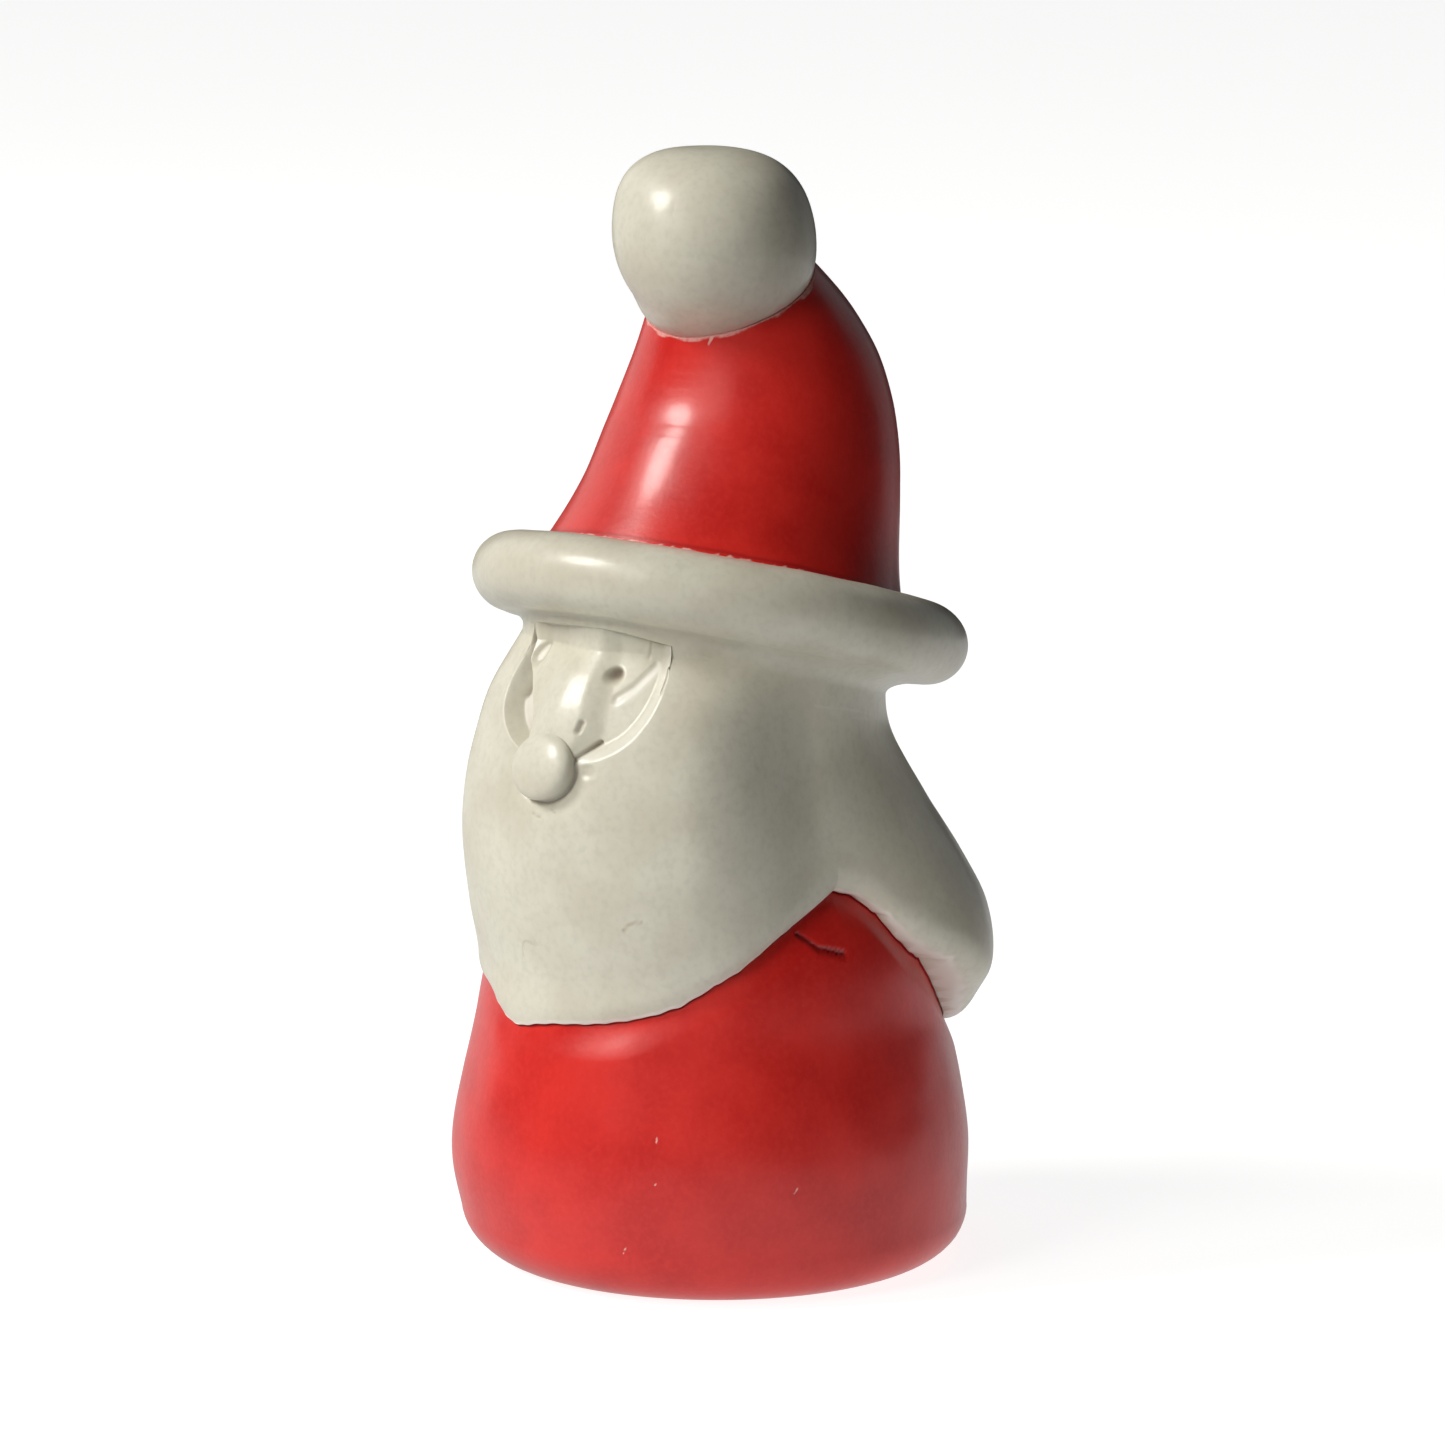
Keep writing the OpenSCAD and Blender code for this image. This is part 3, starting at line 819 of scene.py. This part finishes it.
def brim_piece():
    """The brim: for each angle a loop from the neck over the roll to the crown and down the bore."""
    angle = columns((0, 360, 0.75))
    z = neck_top(angle, carved_r)
    turn, ring_r, ring_up = on_hat(place(angle, carved_r(angle, z), z))
    _, low_r, low_up = on_hat(place(angle, carved_r(angle, z - 0.4), z - 0.4))
    along = np.hypot(ring_r - low_r, ring_up - low_up)
    lead_r, lead_up = (ring_r - low_r) / along * 0.8, (ring_up - low_up) / along * 0.8
    s = np.linspace(0, 1, 26)[:, None]
    b0, b1, b2, b3 = (1 - s) ** 3, 3 * s * (1 - s) ** 2, 3 * s**2 * (1 - s), s**3
    cove_r = b0 * ring_r + b1 * (ring_r + lead_r) + b2 * (tube_at - 1.3) + b3 * tube_at
    cove_up = b0 * ring_up + b1 * (ring_up + lead_up) + (b2 + b3) * -roll_r
    roll = np.radians(np.linspace(-90, 90, 50))[1:, None]
    top_r = mix(tube_at, crown_r, np.linspace(0, 1, 16)[1:, None])
    hollow = roll_r - 0.34 * np.sin(np.pi * np.clip((tube_at - top_r) / (tube_at - crown_r), 0, 1) ** 0.8)
    flat_r = np.array([[14.4], [10], [bore_r], [bore_r]])
    flat_up = np.array([[seat_at], [seat_at], [seat_at], [neck_at]])
    shape = np.ones_like(angle)
    r = np.concatenate([cove_r, (tube_at + roll_r * np.cos(roll)) * shape, top_r * shape, flat_r * shape])
    up = np.concatenate([cove_up, roll_r * np.sin(roll) * shape, hollow * shape, flat_up * shape])
    grid = off_hat(np.broadcast_to(turn, r.shape), r, up)
    to_crown = np.abs(r - crown_r - 0.1) + 10 * (up < 2)
    edge = np.exp(-(((to_crown - jagged(angle, 5, 0.05)) / 0.16) ** 2))
    marks = {"cut": 0, "vein": 0, "pale": edge.T * 0.3, "stain": edge.T * 0.4}
    return rubbed("rolled_brim", woven("rolled_brim", grid.transpose(1, 0, 2), "ring", marks), natural_stone)


brim = brim_piece()
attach(brim, "root")
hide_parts("hat_brim")


# The hat's crown
#
# A bent cone of soapstone, stained red like the robe. It leaves the brim leaning back and curls
# forward to the pompom. The stain stops short of both ends in an uneven pale line.

crown_h = 22.7
tip_r = 7.1
base_lean, tip_lean = math.radians(20), math.radians(27)
tip_back = 2.6
crown_outline = [(0, 1), (0.15, 0.925), (0.35, 0.86), (0.6, 0.775), (0.8, 0.655), (1, tip_r / crown_r)]
foot_handle, top_handle = 0.37, 0.47
flare_share = 0.035
crown_foot = hat_middle + hat_up * seat_at
crown_top = np.array([0, tip_back, crown_foot[2] + crown_h])
tip_up = np.array([0, -math.sin(tip_lean), math.cos(tip_lean)])
base_up = np.array([0, math.sin(base_lean), math.cos(base_lean)])


def crown_tree():
    """Geometry nodes that sweep a circle along a bent path, narrower from ring to ring. The rings
    stand at equal steps, and their width is one polynomial through the outline's points."""
    tree = bpy.data.node_groups.new("bent_cone", "GeometryNodeTree")
    tree.interface.new_socket("Geometry", in_out="INPUT", socket_type="NodeSocketGeometry")
    for name in ("Foot", "Foot Handle", "Top Handle", "Top"):
        tree.interface.new_socket(name, in_out="INPUT", socket_type="NodeSocketVector")
    tree.interface.new_socket("Foot Radius", in_out="INPUT", socket_type="NodeSocketFloat")
    for name in ("Rings", "Sides"):
        tree.interface.new_socket(name, in_out="INPUT", socket_type="NodeSocketInt")
    tree.interface.new_socket("Stone", in_out="INPUT", socket_type="NodeSocketMaterial")
    tree.interface.new_socket("Geometry", in_out="OUTPUT", socket_type="NodeSocketGeometry")
    wire = Wire(tree)
    given = {socket.name: Wire(tree, socket) for socket in tree.nodes.new("NodeGroupInput").outputs}
    path = wire.node(
        "GeometryNodeCurvePrimitiveBezierSegment",
        {"mode": "POSITION"},
        {"Resolution": given["Rings"], "Start": given["Foot"], "Start Handle": given["Foot Handle"],
         "End Handle": given["Top Handle"], "End": given["Top"]},
    )
    rings = wire.node("GeometryNodeResampleCurve", {"mode": "COUNT"}, {0: path, "Count": given["Rings"] + 1})
    index = wire.node("GeometryNodeSplineParameter", out="Index")
    share = wire.maths("DIVIDE", index, given["Rings"])
    places = np.linspace(0, 1, 60)
    width = 0.0
    for factor in np.polyfit(places, smooth(crown_outline, places), 7):
        width = share * width + float(factor)
    wide = wire.node("GeometryNodeSetCurveRadius", None, {0: rings, "Radius": width * given["Foot Radius"]})
    sides = {"Resolution": given["Sides"], "Radius": 1.0}
    circle = wire.node("GeometryNodeCurvePrimitiveCircle", None, sides)
    swept = wire.node(
        "GeometryNodeCurveToMesh",
        None,
        {"Curve": wide, "Profile Curve": circle, "Scale": width * given["Foot Radius"], "Fill Caps": True},
    )
    joined = wire.node("GeometryNodeMergeByDistance", None, {0: swept, "Distance": 1e-6})
    real = wire.node("GeometryNodeRealizeInstances", None, {0: joined})
    done = wire.node("GeometryNodeSetMaterial", None, {0: real, "Material": given["Stone"]})
    tree.links.new(done.socket, tree.nodes.new("NodeGroupOutput").inputs[0])
    return tree


def crown_piece():
    """The crown: the swept cone, with its foot levelled onto the brim and flared to one side."""
    inputs = {
        "Foot": crown_foot, "Foot Handle": crown_foot + base_up * crown_h * foot_handle,
        "Top Handle": crown_top - tip_up * crown_h * top_handle, "Top": crown_top,
    }
    inputs = {key: [float(x) * 0.001 for x in value] for key, value in inputs.items()}
    inputs |= {"Foot Radius": crown_r * 0.001, "Rings": 110, "Sides": 300, "Stone": dyed_stone}
    bent = built("swept_cone", bpy.data.meshes.new("swept_cone"), crown_tree(), inputs)
    mesh = bent.data
    bpy.data.objects.remove(bent)
    points = np.zeros(len(mesh.vertices) * 3)
    mesh.vertices.foreach_get("co", points)
    points = points.reshape(-1, 3) * 1000
    turn, r, up = on_hat(points)
    level = math.tan(base_lean - hat_tilt) * (-r * np.cos(turn)) * (1 - ramp(0, 15, up - seat_at))
    flare = flare_share * (1 - ramp(-1, 7, up - seat_at)) * (0.4 + 0.6 * np.cos(turn + math.radians(60)))
    points = points + level[:, None] * hat_up + flare[:, None] * (points - crown_foot) * (1, 1, 0)
    turn, r, up = on_hat(points)
    above_foot = up - seat_at
    below_tip = (crown_top - points) @ tip_up
    angle = np.degrees(turn)
    foot_line = ramp(0.28, 0.08, above_foot - jagged(angle, 3, 0.06))
    tip_line = 0.7 * ramp(0.3, 0.05, below_tip - jagged(angle, 9, 0.08, 32))
    streak = mark(angle, points[:, 2], 8, [(16, 76.3), (14.5, 75.6)], 0.14)
    bare = np.clip(foot_line + tip_line + streak, 0, 1)
    # Painted shade: a darker band just above the foot, where the crown meets the brim, kept as the cut mark.
    line = np.exp(-(((above_foot - 0.45) / 0.16) ** 2)) * 0.5
    mesh.vertices.foreach_set("co", (points * 0.001).ravel())
    for key, values in (("bare", bare), ("cut", line)):
        mesh.attributes.new(key, "FLOAT", "POINT").data.foreach_set("value", values.astype(np.float32))
    return rubbed("bent_crown", mesh, dyed_stone)


crown = crown_piece()
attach(crown, "root")
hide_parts("hat_crown")


# The pompom
#
# An undyed soapstone ball, filed by eye from a cube, so it keeps soft corners and flats. It is cut
# off flat and pegged to the crown's tip.

pompom_r = corners("pompom")[1][0]
pompom_up = math.sqrt(pompom_r**2 - (tip_r - 0.2) ** 2)

# Flats and corners: the way each one faces, how deep it is filed, or how far it stands out when
# below 0, and how widely it spreads.
flats = [((-0.58, -0.48, 0.66), -0.8, 0.1), ((0.58, 0.48, 0.66), -0.25, 0.1), ((0, 0, 1), 0.7, 0.2),
         ((-0.55, -0.45, -0.7), 0.3, 0.15), ((-0.5, -0.8, -0.5), 0.3, 0.3), ((0.2, 0.9, 0.3), 0.3, 0.3),
         ((0.5, -0.9, 0.5), 0.15, 0.3)]


def pompom_piece():
    """The pompom: a ball with its flats and corners, cut off where the crown's tip meets it."""
    low = -math.asin(pompom_up / pompom_r)
    ball = [(pompom_r * math.cos(a), pompom_r * math.sin(a)) for a in np.linspace(low, math.radians(89), 110)]
    flat = [(share * ball[0][0], ball[0][1]) for share in (0.3, 0.7, 0.95)]
    grid = turned(flat + ball, 220)
    points = leaned(grid, np.zeros(3), tip_lean)
    outwards = points / np.linalg.norm(points, axis=-1, keepdims=True)
    filed = np.zeros(grid.shape[:2])
    for way, depth, width in flats:
        towards = outwards @ (np.array(way) / np.linalg.norm(way))
        filed = filed + depth * np.exp(-(1 - towards) / width)
    fade = ramp(-pompom_up, -pompom_up + 3, grid[..., 2])
    points = points - outwards * (filed * fade)[..., None]
    points = points + crown_top + tip_up * pompom_up
    above = grid[..., 2] + pompom_up
    angle = np.degrees(np.arctan2(grid[..., 0], -grid[..., 1]))
    tinge = ramp(0.6, 0.05, above - 0.1 - jagged(angle, 12, 0.1, 32))
    marks = {"cut": 0, "vein": 0, "pale": 0, "stain": tinge * 0.55}
    return rubbed("filed_pompom", woven("filed_pompom", points, "points", marks), natural_stone)


pompom = pompom_piece()
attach(pompom, "root")
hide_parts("pompom")


# The studio
#
# A pale floor and a pale wall round it, two soft lamps high on the left, a weak fill from the
# front and two cards behind that brighten the outline. The light that the floor throws back
# comes from two discs of its own: a near one that lights the stone and a wider one mirrored in it.

view_turn = math.radians(40)
to_camera = np.array([math.sin(view_turn), -math.cos(view_turn), 0])
to_right = np.array([math.cos(view_turn), math.sin(view_turn), 0])
aim_right, aim_height = 1.0, 44.07
aim = to_right * aim_right + np.array([0, 0, aim_height])
camera_away, camera_height, lens = 526.0, 138.5, 163.2


def glowing(name, diffuse, glow):
    """A dull white surface that also gives light of its own."""
    material = bpy.data.materials.new(name)
    material.use_nodes = True
    shader = material.node_tree.nodes["Principled BSDF"]
    shader.inputs["Base Color"].default_value = (diffuse, diffuse, diffuse, 1)
    shader.inputs["Roughness"].default_value = 0.9
    shader.inputs["Specular IOR Level"].default_value = 0.0
    shader.inputs["Emission Color"].default_value = (1, 1, 1, 1)
    shader.inputs["Emission Strength"].default_value = glow
    return material


def stage_disc(name, rings, material):
    """A disc or wall round the figure, from rings of (radius, height)."""
    turn = np.radians(np.arange(0, 360, 5))
    grid = np.array([[(r * math.cos(t), r * math.sin(t), z) for t in turn] for r, z in rings])
    count = len(turn)
    faces = [
        [i * count + j, i * count + (j + 1) % count, (i + 1) * count + (j + 1) % count, (i + 1) * count + j]
        for i in range(len(rings) - 1) for j in range(count)
    ]
    mesh = bpy.data.meshes.new(name)
    mesh.from_pydata((grid.reshape(-1, 3) * 0.001).tolist(), [], faces)
    mesh.materials.append(material)
    piece = bpy.data.objects.new(name, mesh)
    bpy.context.scene.collection.objects.link(piece)
    return piece


floor_rings = [(1, 0), (300, 0), (4000, 0)]
bounce_rings = [(1, -0.5), (60, -0.5), (140, -0.5)]
sheen_rings = [(1, -0.6), (100, -0.6), (420, -0.6)]
wall_rings = [(4000, 0), (4600, 700), (4600, 6000), (2000, 9000)]
floor = stage_disc("floor", floor_rings, glowing("pale_floor", 0.35, 0.88))
bounce = stage_disc("floor_bounce", bounce_rings, glowing("floor_bounce", 0, 0.86))
sheen = stage_disc("floor_sheen", sheen_rings, glowing("floor_sheen", 0, 0.66))
wall = stage_disc("wall", wall_rings, glowing("pale_wall", 0, 1.0))
for thing, hidden_from in ((floor, ("diffuse", "glossy")), (bounce, ("camera", "glossy", "shadow")),
                           (sheen, ("camera", "diffuse", "shadow")),
                           (wall, ("diffuse", "glossy", "transmission", "shadow"))):
    for ray in hidden_from:
        setattr(thing, f"visible_{ray}", False)


def aimed(name, data, place_at, target):
    """A lamp or camera at a place, turned to look at a target."""
    thing = bpy.data.objects.new(name, data)
    bpy.context.scene.collection.objects.link(thing)
    thing.location = [float(x) * 0.001 for x in place_at]
    way = (np.array(target) - np.array(place_at)).tolist()
    thing.rotation_euler = Vector(way).to_track_quat("-Z", "Y").to_euler()
    return thing


def lamp(name, way, away, width, height, strength, colour, glossy=True):
    """An oval lamp that lights the figure from a direction (right, towards camera, up)."""
    right, near, up = way
    direction = to_right * right + to_camera * near + np.array([0, 0, up])
    direction = direction / np.linalg.norm(direction)
    data = bpy.data.lights.new(name, "AREA")
    data.shape = "ELLIPSE"
    data.size, data.size_y = width * 0.001, height * 0.001
    data.energy = strength * math.pi**2 * (away * 0.001) ** 2
    data.color = colour
    light = aimed(name, data, aim + direction * away, aim)
    light.visible_glossy = glossy
    return light


lamp("key", (-0.74, 0.127, 0.66), 1500, 480, 480, 0.62, (1.0, 0.985, 0.94))
lamp("soft_key", (-0.62, 0.6, 0.5), 1500, 700, 700, 0.47, (1.0, 0.98, 0.94), glossy=False)
lamp("fill", (-0.3, 0.9, 0.3), 1500, 1400, 1200, 0.1, (1.0, 0.98, 0.94), glossy=False)
lamp("left_card", (-0.75, -0.75, 0.15), 900, 700, 1100, 0.18, (1.0, 0.99, 0.95))
lamp("right_card", (0.75, -0.8, 0.3), 900, 600, 900, 0.04, (0.93, 0.97, 1.0))

world = bpy.data.worlds.new("room")
world.use_nodes = True
world.node_tree.nodes["Background"].inputs["Color"].default_value = (1.0, 0.98, 0.94, 1)
world.node_tree.nodes["Background"].inputs["Strength"].default_value = 0.02
bpy.context.scene.world = world
bpy.context.scene.view_settings.view_transform = "Standard"

camera_data = bpy.data.cameras.new("camera")
camera_data.lens = lens
camera_data.sensor_width = 36.0
camera_data.clip_start = 0.01
camera_at = aim * np.array([1, 1, 0]) + to_camera * camera_away + np.array([0, 0, camera_height])
bpy.context.scene.camera = aimed("camera", camera_data, camera_at, aim)
